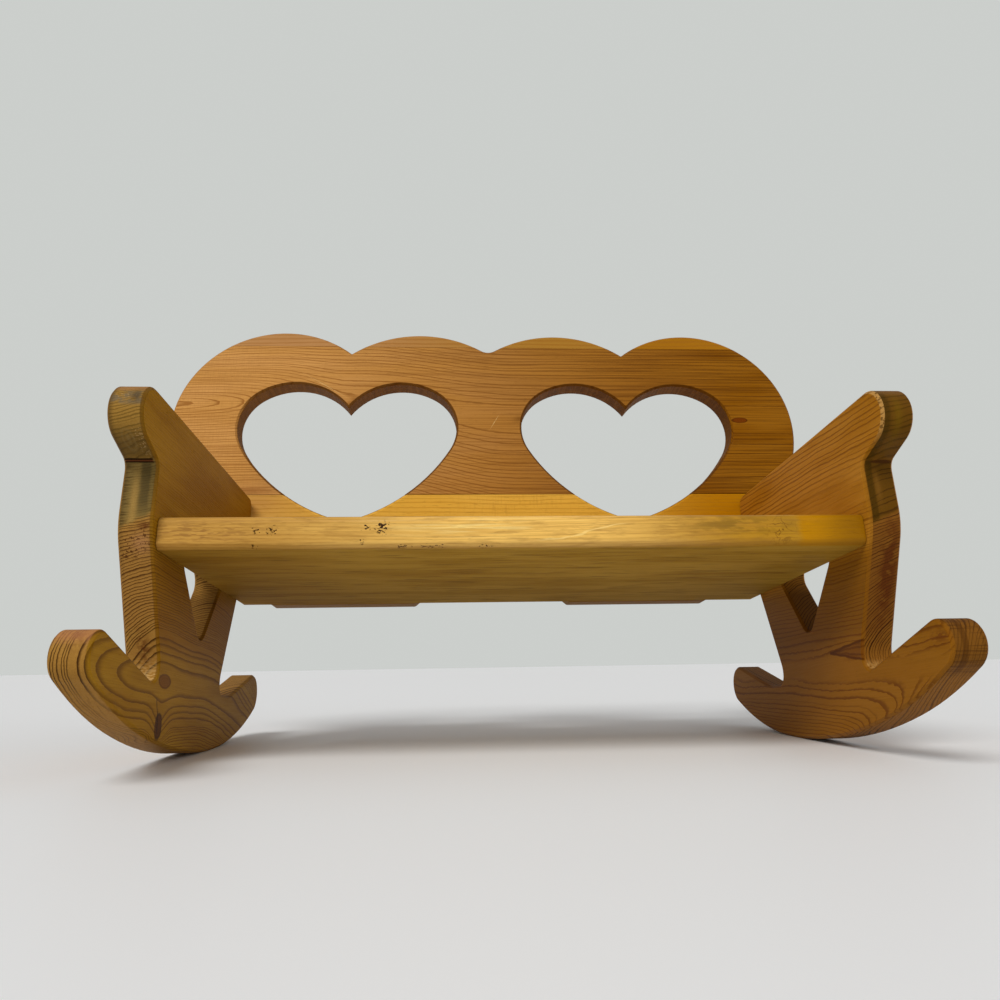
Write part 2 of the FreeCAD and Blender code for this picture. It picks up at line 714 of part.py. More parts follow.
def make_back_boards(blank):
    reach = size("outer_lobe_spread") + size("outer_lobe_radius") + board
    lower_joint = size("seat_height") + size("lower_board_width")
    upper_joint = size("back_height") - size("crest_board_height")
    top = size("back_height") + board
    notch = size("inner_lobe_spread") + (size("outer_lobe_spread") - size("inner_lobe_spread")) * 0.5
    boards = [
        ("back_lower_board", -reach, reach, size("seat_height") - board, lower_joint),
        ("back_main_board", -reach, reach, lower_joint, upper_joint),
        ("back_left_outer_crest", -reach, -notch, upper_joint, top),
        ("back_left_inner_crest", -notch, ZERO, upper_joint, top),
        ("back_right_inner_crest", ZERO, notch, upper_joint, top),
        ("back_right_outer_crest", notch, reach, upper_joint, top),
    ]
    return [make_back_board(name, blank, *limits) for name, *limits in boards]


# Screws and the wooden plugs that hide them.

def make_screw(name, place):
    """A wood screw, driven along +Z from the seat of its head; its thread and point are left out."""
    shank = doc.addObject("Part::Cylinder", name + "_shank")
    bind(shank, "Radius", size("shank_diameter") * 0.5)
    bind(shank, "Height", size("screw_length"))
    head = doc.addObject("Part::Cylinder", name + "_head")
    bind(head, "Radius", size("head_diameter") * 0.5)
    bind(head, "Height", size("head_thickness"))
    bind(head, ".Placement.Base.z", -size("head_thickness"))
    screw = doc.addObject("Part::MultiFuse", name)
    screw.Shapes = [head, shank]
    screw.Placement = place
    return screw


def make_plug(name, place):
    """A plug that fills the counterbore above the screw's head, flush with the board."""
    plug = doc.addObject("Part::Cylinder", name)
    bind(plug, "Radius", (size("counterbore_diameter") - size("plug_clearance")) * 0.5)
    bind(plug, "Height", size("counterbore_depth") - size("head_thickness"))
    plug.Placement = place
    return plug


def make_group(name, members):
    group = doc.addObject("Part::Compound", name)
    group.Links = members
    return group


def make_fasteners(name, seats, inwards):
    """Screws and plugs for a row of head seats; inwards is the direction they are driven."""
    turn = FreeCAD.Rotation(FreeCAD.Vector(0, 0, 1), inwards)
    back_off = size("counterbore_depth").number
    screws = []
    plugs = []
    for number, seat in enumerate(seats, start=1):
        seat_place = FreeCAD.Placement(seat, turn)
        plug_place = FreeCAD.Placement(seat - inwards * back_off, turn)
        screws.append(make_screw("%s_screw_%d" % (name, number), seat_place))
        plugs.append(make_plug("%s_plug_%d" % (name, number), plug_place))
    return [make_group(name + "_screws", screws), make_group(name + "_plugs", plugs)]


def head_seats():
    """Where the screw heads sit: at the floors of the counterbores."""
    floor = board - size("counterbore_depth")
    depths = (-size("seat_screw_front"), size("seat_screw_rear"))
    left = [FreeCAD.Vector((left_inner - floor).number, depth.number, mid_seat_height.number)
            for depth in depths]
    right = [FreeCAD.Vector((right_inner + floor).number, depth.number, mid_seat_height.number)
             for depth in depths]
    back = [FreeCAD.Vector(across.number, (back_front + floor).number, up.number)
            for across, up in seat_back_screws() + arm_back_screws()]
    return left, right, back


# Build everything level, then let it lean back to where its weight balances on the rockers.

wooden = [
    make_end("left_end", left_inner, -1),
    make_end("right_end", right_inner, 1),
    make_seat(),
]
wooden += make_back_boards(make_back_blank())
left_seats, right_seats, back_seats = head_seats()
steel = []
for group_name, seats, inwards in (
    ("left_end", left_seats, FreeCAD.Vector(1, 0, 0)),
    ("right_end", right_seats, FreeCAD.Vector(-1, 0, 0)),
    ("back", back_seats, FreeCAD.Vector(0, -1, 0)),
):
    screws, plugs = make_fasteners(group_name, seats, inwards)
    steel.append(screws)
    wooden.append(plugs)
doc.recompute()


def solids_of(shape):
    return shape.Solids if shape.Solids else [shape]


def balance(groups):
    """The centre of weight of groups of (objects, density)."""
    total = 0.0
    moment = FreeCAD.Vector()
    for members, density in groups:
        for member in members:
            for solid in solids_of(member.Shape):
                weight = solid.Volume * density
                total += weight
                moment += solid.CenterOfMass * weight
    return moment / total


weight_centre = balance(((wooden, PINE_DENSITY), (steel, STEEL_DENSITY)))
rocker_radius = size("rocker_radius").number
rocker_depth = size("rocker_low_depth").number
lean = math.degrees(math.atan2(weight_centre.y - rocker_depth, rocker_radius - weight_centre.z))
lean_back = FreeCAD.Rotation(FreeCAD.Vector(1, 0, 0), -lean)
pieces = wooden + steel
leaning = Part.makeCompound([piece.Shape for piece in pieces])
leaning.Placement = FreeCAD.Placement(FreeCAD.Vector(), lean_back)
box = leaning.optimalBoundingBox(False, False)
hub = lean_back.multVec(FreeCAD.Vector(0, rocker_depth, rocker_radius))
floor_height = hub.z - rocker_radius
middle = FreeCAD.Vector((box.XMin + box.XMax) / 2, (box.YMin + box.YMax) / 2, floor_height)
rest = FreeCAD.Placement(-middle, lean_back)
for piece in pieces:
    piece.Placement = rest.multiply(piece.Placement)
doc.recompute()

print("lean %.3f degrees, weight centre %s" % (lean, weight_centre))
print("moved by %s" % middle)

for item in doc.Objects:
    if "Invalid" in item.State or "Error" in item.State:
        raise RuntimeError("failed: %s %s" % (item.Label, item.State))
for piece in pieces:
    if piece.Shape.isNull() or not piece.Shape.isValid():
        raise RuntimeError("bad shape: " + piece.Label)
    piece.Shape.exportStep(os.path.join("parts", piece.Label + ".step"))
    print(piece.Label, len(piece.Shape.Solids), round(piece.Shape.Volume, 1))
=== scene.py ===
import bpy
import math
import bmesh
from mathutils import Matrix, Vector


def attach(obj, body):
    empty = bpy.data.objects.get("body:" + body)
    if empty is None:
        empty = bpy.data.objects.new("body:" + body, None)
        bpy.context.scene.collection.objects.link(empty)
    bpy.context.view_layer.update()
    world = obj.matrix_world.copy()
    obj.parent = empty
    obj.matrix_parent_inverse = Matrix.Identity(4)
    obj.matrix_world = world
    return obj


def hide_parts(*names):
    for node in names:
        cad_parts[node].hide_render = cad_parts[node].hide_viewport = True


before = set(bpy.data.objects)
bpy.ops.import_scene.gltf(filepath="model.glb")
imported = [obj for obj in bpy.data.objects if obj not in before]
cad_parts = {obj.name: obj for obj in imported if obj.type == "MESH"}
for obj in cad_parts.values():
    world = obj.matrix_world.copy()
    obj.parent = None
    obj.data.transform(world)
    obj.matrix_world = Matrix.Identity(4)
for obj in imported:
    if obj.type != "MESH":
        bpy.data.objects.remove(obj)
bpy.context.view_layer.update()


# Left end panel: leg, arm and rocker band-sawn in one from a pine board, sanded and varnished.
# The board was cut right beside the heart of the tree, so its rings run round a pith line that
# lies just off the inner face. The seat is screwed to it from outside, under wooden plugs.

# Places on the wood are millimetres of the bench as drawn, standing level: x to the right, depth
# to the rear and height. These turn and shift the leaning bench to that place.
LEAN_BACK = math.radians(5.087)
DRAWN_DEPTH = 21.725
DRAWN_HEIGHT = -2.032
MILLIMETRES = 1000.0
ACROSS, DEPTH, HEIGHT = range(3)


class Socket:
    """An output of a material's node, usable in sums; other nodes are added through it."""

    def __init__(self, tree, end):
        self.tree = tree
        self.end = end

    def node(self, kind, settings, inputs, output=0):
        """Any node: settings first, then the value or the link of each socket named."""
        added = self.tree.nodes.new(kind)
        for setting, value in settings.items():
            setattr(added, setting, value)
        for name, value in inputs.items():
            if isinstance(value, Socket):
                self.tree.links.new(value.end, added.inputs[name])
            else:
                added.inputs[name].default_value = value
        return Socket(self.tree, added.outputs[output] if added.outputs else None)

    def math(self, operation, *others):
        return self.node("ShaderNodeMath", {"operation": operation}, dict(enumerate((self,) + others)))

    def __add__(self, other):
        return self.math("ADD", other)

    def __radd__(self, other):
        return self.math("ADD", other)

    def __sub__(self, other):
        return self.math("SUBTRACT", other)

    def __rsub__(self, other):
        return self.math("MULTIPLY_ADD", -1.0, other)

    def __mul__(self, other):
        return self.math("MULTIPLY", other)

    def __rmul__(self, other):
        return self.math("MULTIPLY", other)

    def __truediv__(self, other):
        return self.math("DIVIDE", other)

    def __pow__(self, other):
        return self.math("POWER", other)

    def __abs__(self):
        return self.math("ABSOLUTE")


def rgb(red, green, blue):
    """A colour as a picture shows it, turned into the share of light that it gives back."""
    def share(value):
        value = value / 255.0
        return value / 12.92 if value <= 0.04045 else ((value + 0.055) / 1.055) ** 2.4
    return (share(red), share(green), share(blue), 1.0)


def fade(value, low, high):
    """0 below low, 1 above high and smooth between; the other way round where low is higher."""
    return value.node("ShaderNodeMapRange", {"interpolation_type": "SMOOTHSTEP"},
                      {"Value": value, "From Min": low, "From Max": high})


def band(value, low, high, soft):
    """1 between low and high, soft on both sides."""
    return fade(value, low - soft, low + soft) * fade(value, high + soft, high - soft)


def distance(first, second):
    """The straight way over two steps that are square to each other."""
    return (first * first + second * second).math("SQRT")


def in_oval(across, up, centre, reach, turn):
    """A place along an oval's two axes, as shares of its reach; the oval is turned by degrees."""
    away, above = across - centre[0], up - centre[1]
    cosine, sine = math.cos(math.radians(turn)), math.sin(math.radians(turn))
    return (away * cosine + above * sine) / reach[0], (above * cosine - away * sine) / reach[1]


def spot(across, up, centre, reach, turn=0.0):
    """A soft round or oval patch, 1 in its middle, turned by degrees."""
    wide, tall = in_oval(across, up, centre, reach, turn)
    return (0.0 - (wide * wide + tall * tall)).math("EXPONENT")


def blend(mask, first, second):
    """The second colour laid over the first by a mask."""
    return mask.node("ShaderNodeMix", {"data_type": "RGBA", "clamp_factor": True},
                     {0: mask, 6: first, 7: second}, output=2)


def empty_tree(owner):
    """The node tree of a new material or world, with nothing in it yet."""
    owner.use_nodes = True
    owner.node_tree.nodes.clear()
    return owner.node_tree


def put_on(material, piece):
    """The piece wears this material and no other."""
    piece.data.materials.clear()
    piece.data.materials.append(material)


class Wood:
    """Varnished pine with its own grain. Masks are painted over one another, then it's finished."""

    def __init__(self, name, along, seed):
        """Its fibres run along one axis, and its seed sets its noise apart from other boards'."""
        self.material = bpy.data.materials.new(name)
        tree = empty_tree(self.material)
        self.along = along
        self.seed = seed
        coordinates = tree.nodes.new("ShaderNodeTexCoord").outputs
        standing = Socket(tree, coordinates["Object"])
        self.place = standing.node("ShaderNodeMapping", {"vector_type": "POINT"}, {
            "Vector": standing,
            "Scale": (MILLIMETRES, MILLIMETRES, MILLIMETRES),
            "Rotation": (LEAN_BACK, 0.0, 0.0),
            "Location": (0.0, DRAWN_DEPTH, DRAWN_HEIGHT),
        })
        self.x, self.depth, self.height = self.split(self.place)
        self.facing = self.split(Socket(tree, coordinates["Normal"]))
        self.fibres = self.cloud(self.drawn_out(30.0, 0.5), 20.0, 3.0, 0.65)
        self.colour = None

    def split(self, vector):
        """A vector's three parts: across, depth and height."""
        return [vector.node("ShaderNodeSeparateXYZ", {}, {"Vector": vector}, axis)
                for axis in (ACROSS, DEPTH, HEIGHT)]

    def drawn_out(self, length, width):
        """Lengths for a cloud that is long with the grain and narrow across it."""
        return tuple(length if axis == self.along else width for axis in (ACROSS, DEPTH, HEIGHT))

    def cloud(self, lengths, number, detail=2.0, roughness=0.5):
        """Soft noise about 0.5 with its own length along each axis; the number tells clouds apart."""
        seed = self.seed + number
        stretched = self.place.node("ShaderNodeMapping", {"vector_type": "POINT"}, {
            "Vector": self.place,
            "Scale": tuple(1.0 / length for length in lengths),
            "Location": (seed * 7.3, seed * 3.1, seed * 5.7),
        })
        return self.place.node("ShaderNodeTexNoise", {"noise_dimensions": "3D"}, {
            "Vector": stretched, "Scale": 1.0, "Detail": detail, "Roughness": roughness})

    def line_noise(self, value, length, number):
        """Noise about 0.5 along a single number."""
        return value.node("ShaderNodeTexNoise", {"noise_dimensions": "1D"}, {
            "W": value / length + (self.seed + number) * 11.7, "Scale": 1.0, "Detail": 1.0})

    def waves(self, length, width, height, number):
        """A gentle bend of the rings, up to about half the height to either side."""
        return (self.cloud(self.drawn_out(length, width), number, 1.0) - 0.5) * height

    def rings(self, years, share):
        """Dark late wood that fills the last share of each year's ring, from a count of years.

        The years are unevenly wide, and some of them leave only a faint line.
        """
        years = years + self.line_noise(years, 1.7, 0.0) * 0.8
        within = years.math("FRACT")
        late = fade(within, 1.0 - share, 0.9) * fade(within, 1.0, 0.965)
        strength = self.line_noise(years.math("FLOOR"), 0.37, 3.0)
        return late * fade(strength, 0.1, 0.5)

    def fibre_lines(self):
        """The darker fibres, thin lines with the grain."""
        return fade(self.fibres, 0.35, 0.75)

    def pores(self):
        """Short dark dashes where resin canals are cut open."""
        return fade(self.cloud(self.drawn_out(7.0, 0.4), 30.0, 1.0), 0.66, 0.74)

    def patches(self):
        """Broad lighter and darker runs along the board, 0 to 1."""
        return fade(self.cloud(self.drawn_out(90.0, 18.0), 40.0, 2.0), 0.35, 0.65)

    def sawn_edges(self, through):
        """1 on the edges, 0 on the two broad faces, which face along the axis through the board."""
        return fade(abs(self.facing[through]), 0.8, 0.45)

    def saw_marks(self, through):
        """Fine ripples that the band saw leaves straight through the board's edges."""
        lengths = tuple(30.0 if axis == through else 0.9 for axis in (ACROSS, DEPTH, HEIGHT))
        return self.cloud(lengths, 50.0, 1.0)

    def grit(self, size, number):
        """A cloud of round grains."""
        return self.cloud((size, size, size), number)

    def paint(self, mask, colour):
        """The colour laid over all that is there, by a mask."""
        self.colour = blend(mask, self.colour, colour)

    def knot(self, across, up, centre, reach, core, rim):
        """A knot: a darker rim round a core with its own close rings."""
        wide, tall = in_oval(across, up, centre, reach, 0.0)
        out = distance(wide, tall) + (self.grit(5.0, 60.0) - 0.5) * 0.4
        close_rings = fade((out * 3.2).math("FRACT"), 0.5, 0.95) * 0.4
        self.paint(fade(out, 1.05, 0.9), blend(close_rings, core, rim))
        self.paint(fade(out, 0.8, 0.98) * fade(out, 1.2, 1.04) * 0.8, rim)

    def finish(self, roughness, marks, coat=0.0):
        """The varnish: its roughness, the relief of its marks in millimetres and a glossy coat.

        Roughness and relief follow the fibres too. The varnish mirrors little, and that warmly.
        """
        relief = (self.fibres - 0.5) * 0.06 + marks
        bump = self.place.node("ShaderNodeBump", {}, {
            "Height": relief, "Strength": 1.0, "Distance": 1.0 / MILLIMETRES})
        shader = self.place.node("ShaderNodeBsdfPrincipled", {}, {
            "Base Color": self.colour,
            "Roughness": (self.fibres - 0.5) * 0.2 + roughness,
            "Normal": bump,
            "Specular IOR Level": 0.07,
            "Specular Tint": (1.0, 0.80, 0.45, 1.0),
            "Coat Weight": coat,
            "Coat Roughness": 0.22,
            "Coat Tint": (1.0, 0.93, 0.80, 1.0),
        })
        shader.node("ShaderNodeOutputMaterial", {}, {"Surface": shader})


def lift_board(node, name):
    """A board of its own from a copy of the frame's, merged, with its sanded edges rounded."""
    touching = 0.00001
    rounding = 0.0008
    flattest_corner, sharpest_corner = 0.5, 1.0
    bpy.ops.object.select_all(action="DESELECT")
    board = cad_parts[node].copy()
    board.data = board.data.copy()
    board.parent = None
    board.name = name
    board.data.name = name
    for key in list(board.keys()):
        del board[key]
    bpy.context.scene.collection.objects.link(board)
    bpy.context.view_layer.objects.active = board
    board.select_set(True)
    bpy.ops.object.mode_set(mode="EDIT")
    bpy.ops.mesh.select_mode(type="EDGE")
    bpy.ops.mesh.select_all(action="SELECT")
    bpy.ops.mesh.remove_doubles(threshold=touching)
    bpy.ops.mesh.dissolve_limited(angle_limit=math.radians(0.4))

    # Each chamfer meets the faces beside it at about 45 degrees, 0.8 in radians.
    bpy.ops.mesh.select_all(action="DESELECT")
    mesh = bmesh.from_edit_mesh(board.data)
    for edge in mesh.edges:
        if edge.is_manifold and flattest_corner < edge.calc_face_angle() < sharpest_corner:
            edge.select = True
    mesh.select_flush(True)
    bmesh.update_edit_mesh(board.data)
    bpy.ops.mesh.bevel(offset=rounding, offset_type="OFFSET", segments=3, profile=0.5,
                       clamp_overlap=True)
    bpy.ops.mesh.select_all(action="SELECT")
    bpy.ops.mesh.dissolve_degenerate(threshold=touching)
    bpy.ops.object.mode_set(mode="OBJECT")
    bpy.ops.object.shade_smooth_by_angle(angle=math.radians(35.0))
    weighted = board.modifiers.new("flat_faces", "WEIGHTED_NORMAL")
    weighted.keep_sharp = True
    bpy.ops.object.modifier_apply(modifier=weighted.name)
    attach(board, "root")
    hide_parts(node)
    return board


def end_panel_parts(wood):
    """Masks of either end panel: its sawn edges, their front stretch, the leg's front edge up to
    the neck, the arm's nose above it, and the surroundings of the opening between the legs."""
    sawn = wood.sawn_edges(ACROSS)
    front = sawn * fade(wood.depth, -38.0, -52.0)
    leg_front = front * fade(wood.height, 158.0, 156.0)
    nose = sawn * fade(wood.depth, -70.0, -90.0) * fade(wood.height, 155.0, 159.0)
    opening = fade(spot(wood.depth, wood.height, (5.0, 85.0), (34.0, 38.0)), 0.15, 0.35)
    return sawn, front, leg_front, nose, opening


left_end = lift_board("left_end", "left_end_panel")
wood = Wood("left_end_pine", DEPTH, 1.0)
x, depth, height = wood.x, wood.depth, wood.height
sawn, front, leg_front, nose, opening = end_panel_parts(wood)
rim = band(abs(wood.facing[ACROSS]), 0.45, 0.94, 0.05)
pores = wood.pores()
ripple = wood.saw_marks(ACROSS)

# The rings run round the pith, wide apart near it and closer further out, and bulge at two knots.
ankle_knot = (-39.5, 39.8)
runner_knot = (-42.2, 14.9)
bulges = spot(depth, height, ankle_knot, (14.0, 8.0)) * 7.0
bulges = bulges + spot(depth, height, runner_knot, (13.0, 13.0)) * 9.0
pith_height = 41.0 - (depth - 10.0).math("MAXIMUM", 0.0) ** 2.0 / 800.0
pith_x = (-88.0 - depth).math("MAXIMUM", 0.0) * 0.22 - 188.0
up = height - pith_height + wood.waves(90.0, 30.0, 7.0, 1.0) + wood.waves(24.0, 9.0, 2.0, 2.0)
out = x - pith_x + wood.waves(80.0, 40.0, 4.0, 3.0)
radius = distance(up, out) - bulges + wood.waves(5.0, 2.0, 0.6, 4.0)
young = (radius - 8.0).math("MAXIMUM", 0.0) / 4.4
late = wood.rings(young + (radius - 26.0).math("MAXIMUM", 0.0) * 0.4, 0.5)

# The broad faces are amber with painted shade under the seat; the inner face keeps an olive tone
# of painted shade, and the outer face is paler pine.
inner = blend(wood.patches(), rgb(152, 106, 14), rgb(168, 122, 24))
# Painted shade under the seat.
inner = blend(band(height, 56.0, 106.0, 8.0) * 0.6, inner, rgb(140, 88, 12))
outer = fade(wood.facing[ACROSS], -0.5, -0.9)
inner = blend(outer * 0.7, inner, rgb(188, 138, 72))
edge = blend(fade(height, 60.0, 20.0), rgb(166, 122, 56), rgb(152, 108, 44))
wood.colour = blend(sawn, inner, edge)
faint = fade(height, 112.0, 130.0) * fade(sawn, 0.9, 0.2)
wood.paint(late * (0.8 + sawn * 0.12 - faint * 0.6), blend(sawn, rgb(98, 58, 6), rgb(44, 18, 4)))
runner_edge = sawn * fade(height, 44.0, 30.0) * fade(depth, -128.0, -112.0)
wood.paint(runner_edge * 0.55, rgb(156, 112, 48))
across_runner = fade(wood.cloud((1.1, 14.0, 5.0), 61.0, 2.0), 0.5, 0.66)
wood.paint(runner_edge * across_runner * 0.3, rgb(100, 64, 22))

# The leg's front edge is reddish below the seat, with dark specks and two scorched places.
tilted = height - (x + 203.0) * 0.44
reddish = leg_front * band(tilted, 70.0, 121.0, 5.0)
wood.paint(reddish * 0.14, rgb(132, 74, 38))
wood.paint(leg_front * spot(x, height, (-201.0, 111.0), (5.0, 5.0)) * 0.5, rgb(184, 132, 88))
specks = leg_front * band(tilted, 104.0, 118.0, 3.0) * fade(wood.grit(1.6, 3.0), 0.58, 0.66)
wood.paint(specks * 0.8, rgb(66, 30, 12))
scorched = spot(x, height, (-203.0, 57.0), (4.0, 9.0), 10.0)
scorched = scorched + spot(x, height, (-198.0, 120.0), (5.0, 2.4))
wood.paint(leg_front * scorched * fade(wood.grit(2.5, 5.0), 0.3, 0.6) * 0.75, rgb(84, 36, 14))

# Above a slanting line it is weathered grey, with a dark column, a pale streak and short ticks.
weathered = leg_front * fade(tilted + (wood.grit(3.0, 21.0) - 0.5) * 5.0, 121.5, 125.5)
wood.paint(weathered * (0.84 - late * 0.35), rgb(108, 94, 52))
column = band(x + (wood.grit(4.0, 22.0) - 0.5) * 2.0, -204.0, -198.6, 1.0)
wood.paint(weathered * column * fade(height, 122.0, 136.0) * 0.75, rgb(72, 62, 36))
streak = spot(x, height, (-206.2, 132.0), (2.2, 17.0))
streak = streak + spot(x, height, (-205.0, 119.0), (7.0, 5.0))
wood.paint(weathered * streak * 0.8, rgb(164, 130, 68))
ticks = fade(wood.cloud((9.0, 1.2, 1.2), 8.0, 1.0), 0.5, 0.6)
wood.paint(weathered * ticks * fade(abs(x + 203.0), 4.0, 8.5) * 0.6, rgb(54, 40, 16))

# The arm's nose is olive, darker towards the neck, with a grey patch, a whorl and pale chips.
wood.paint(nose * 0.5, rgb(144, 112, 46))
wood.paint(nose * fade(height, 170.0, 161.0) * 0.75, rgb(84, 64, 28))
grey_patch = nose * band(height, 179.0, 187.5, 1.5) * fade(wood.grit(5.0, 6.0), 0.35, 0.55)
wood.paint(grey_patch * 0.75, rgb(112, 100, 78))
wood.paint(nose * fade(height, 187.0, 189.5) * 0.7, rgb(160, 114, 70))
whorl = spot(x, height, (-205.0, 163.0), (3.4, 4.0)) + (wood.grit(4.0, 10.0) - 0.5) * 0.25
wood.paint(nose * fade(abs(whorl - 0.5), 0.2, 0.05) * 0.22, rgb(136, 114, 70))
wood.paint(nose * fade(whorl, 0.82, 0.95) * 0.25, rgb(136, 114, 70))
wood.paint(nose * spot(x, height, (-199.5, 184.0), (2.6, 4.0)) * 0.7, rgb(62, 50, 34))
chips = spot(x, height, (-198.5, 163.0), (3.0, 5.0))
chips = chips + spot(x, height, (-207.0, 184.5), (6.0, 1.6))
wood.paint(nose * chips * fade(wood.grit(1.1, 9.0), 0.56, 0.62) * 0.55, rgb(190, 156, 106))
outer_arris = sawn * fade(x, -209.5, -212.6) * fade(height, 60.0, 160.0)
wood.paint(outer_arris * 0.55, rgb(70, 52, 26))

# The notch over the front tip is left rough from the saw, and the tip's top is reddish.
notch = sawn * spot(depth, height, (-55.0, 40.0), (10.0, 8.0))
rough = fade(wood.cloud((3.0, 0.9, 0.9), 7.0), 0.40, 0.58)
wood.paint(notch * rough * 0.85, rgb(204, 168, 108))
tip_top = sawn * fade(wood.facing[HEIGHT], 0.35, 0.8)
tip_top = tip_top * fade(depth, -60.0, -100.0) * fade(height, 90.0, 70.0)
wood.paint(tip_top * 0.6, rgb(184, 124, 82))
# Painted shade: the rounded arrises darkened, most on the arm, and the walls and arrises round the
# opening between the legs.
wood.paint(rim * (0.15 + fade(height, 120.0, 160.0) * 0.4), rgb(84, 54, 16))
wood.paint(sawn * opening * 0.5, rgb(66, 38, 18))
wood.paint(rim * opening * 0.6, rgb(66, 38, 12))
wood.knot(depth, height, ankle_knot, (8.6, 3.8), rgb(128, 80, 16), rgb(100, 56, 8))
wood.knot(depth, height, runner_knot, (4.6, 6.8), rgb(88, 50, 14), rgb(52, 24, 4))
crack = spot(depth, height, (-44.0, 17.0), (1.0, 7.5), 8.0)
crack = crack + spot(depth, height, (-47.5, 27.0), (0.8, 5.5), 20.0) * 0.7
wood.paint(fade(crack, 0.25, 0.7) * fade(sawn, 0.5, 0.1) * 0.8, rgb(44, 22, 8))

# A nick of the saw runs across the neck, short of the inner face: its two edges are dark lines of
# painted shade, red between.
kerf_height = 156.6
kerf_reach = front * fade(x, -196.6, -198.0)
kerf = band(height, kerf_height - 0.5, kerf_height + 0.5, 0.2) * kerf_reach
wood.paint(kerf, rgb(92, 48, 24))
kerf_lines = fade(abs(abs(height - kerf_height) - 0.55), 0.32, 0.12) * kerf_reach
wood.paint(kerf_lines, rgb(20, 10, 5))

wood.paint(wood.fibre_lines() * 0.25, rgb(96, 60, 6))
wood.paint(pores * 0.3, rgb(70, 38, 8))
marks = (ripple - 0.5) * sawn * 0.12 - late * 0.05 - pores * 0.05 - kerf_lines * 0.8
wood.finish(0.5 + sawn * 0.08, marks)
put_on(wood.material, left_end)


# Right end panel: the left one's mate, sawn to the same pattern from a board whose pith lay
# outside it, so its inner face shows long even ring lines and its edges slanting ones.

right_end = lift_board("right_end", "right_end_panel")
wood = Wood("right_end_pine", DEPTH, 5.0)
x, depth, height = wood.x, wood.depth, wood.height
sawn, front, leg_front, nose, opening = end_panel_parts(wood)
flat = fade(sawn, 0.5, 0.1)
rim = band(abs(wood.facing[ACROSS]), 0.4, 0.94, 0.05)
pores = wood.pores()
ripple = wood.saw_marks(ACROSS)

# The face is sanded off towards the runner's lower edge, which turns the ring lines along it.
runner_centre = (20.0, 357.0)
runner_radius = 356.4
from_edge = runner_radius - distance(depth - runner_centre[0], height - runner_centre[1])
sanded_off = (from_edge / -4.5).math("EXPONENT") * 8.0 * fade(depth, -5.0, -60.0) * flat
pith_height = 43.7 + depth * 0.069
pith_x = 249.0
up = height - pith_height + wood.waves(90.0, 30.0, 8.0, 1.0) + wood.waves(24.0, 9.0, 1.8, 2.0)
out = x - pith_x + sanded_off + wood.waves(80.0, 40.0, 3.0, 3.0)
radius = distance(up, out) + wood.waves(5.0, 2.0, 0.5, 4.0)
radius = radius - spot(depth, height, (-46.0, 51.5), (28.0, 9.0)) * 2.5
close_until = 88.0
years = radius.math("MINIMUM", close_until) / 1.7
years = years + (radius - close_until).math("MAXIMUM", 0.0) / 3.2
late = wood.rings(years, 0.42) * (1.0 - fade(abs(up), 10.0, 3.0) * flat)

# The arm is orange and the runner brown; the rings show most on the sawn edges.
inner = blend(wood.patches(), rgb(178, 118, 24), rgb(194, 134, 42))
lower = fade(height, 112.0, 66.0)
inner = blend(lower * 0.8, inner, rgb(142, 90, 16))
# Painted shade darkens the faces under the seat.
inner = blend(band(height, 58.0, 106.0, 8.0) * 0.6, inner, rgb(116, 72, 8))
outer = fade(wood.facing[ACROSS], 0.5, 0.9)
inner = blend(outer * 0.6, inner, rgb(184, 130, 66))
wood.colour = blend(sawn, inner, rgb(136, 88, 28))
plain = band(height, 130.0, 158.0, 10.0) * 0.45
runner_edge = sawn * fade(height, 56.0, 46.0) * fade(depth, -20.0, -50.0)
strength = 0.62 + lower * 0.2 - plain * flat + sawn * 0.33 - runner_edge * 0.5
wood.paint(late * strength, blend(sawn, rgb(106, 56, 4), rgb(36, 12, 2)))
# Painted shade on the walls and arrises round the opening between the legs.
wood.paint(sawn * opening * 0.6, rgb(46, 18, 2))
wood.paint(rim * opening * 0.7, rgb(60, 28, 4))

# The leg's front edge has a long dark red stain, and is olive above a slanting line.
tilted = height - (x - 220.0) * 0.42
red = leg_front * spot(x, height, (223.0, 94.0), (4.8, 25.0), -3.0) * (1.3 - late * 0.5)
wood.paint((red * fade(wood.grit(5.0, 3.0), 0.3, 0.6)).math("MINIMUM", 0.85), rgb(78, 28, 8))
wood.paint(red * late * 0.7, rgb(34, 10, 2))
wood.paint(leg_front * band(tilted, 60.0, 122.0, 4.0) * 0.35, rgb(90, 44, 12))
weathered = leg_front * fade(tilted, 121.0, 125.0)
wood.paint(weathered * (0.8 - late * 0.4), rgb(78, 52, 2))
wood.paint(weathered * band(x, 212.5, 216.5, 0.7) * 0.7, rgb(52, 36, 0))
wood.paint(weathered * spot(x, height, (218.6, 142.0), (1.7, 9.0)) * 0.7, rgb(118, 80, 26))

# The arm's nose is dark olive; its inner arris is frayed and pale, and a nick of the saw, a dark
# line of painted shade, ends it at the neck.
wood.paint(nose * 0.75, rgb(78, 52, 2))
wood.paint(nose * fade(x, 217.5, 214.5) * 0.6, rgb(52, 38, 2))
wood.paint(nose * spot(x, height, (220.5, 174.0), (2.4, 12.0)) * 0.5, rgb(112, 84, 8))
wood.paint(nose * fade(height, 186.5, 189.5) * 0.4, rgb(130, 92, 46))
teeth = fade(wood.cloud((3.0, 2.0, 1.6), 6.0), 0.52, 0.6)
frayed = rim * fade(x, 220.0, 215.0) * fade(depth, -74.0, -88.0) * fade(height, 160.0, 170.0)
wood.paint(frayed * 0.75, rgb(196, 150, 84))
wood.paint(frayed * teeth * 0.8, rgb(94, 64, 22))
wood.paint(rim * fade(x, 222.0, 219.0) * fade(height, 160.0, 152.0) * 0.4, rgb(124, 76, 18))
# The nick across the neck: a dark line of painted shade.
neck_nick_shade = spot(x, height, (222.0, 156.2), (8.0, 1.0)) * front
wood.paint(fade(neck_nick_shade, 0.3, 0.7) * 0.85, rgb(58, 26, 6))

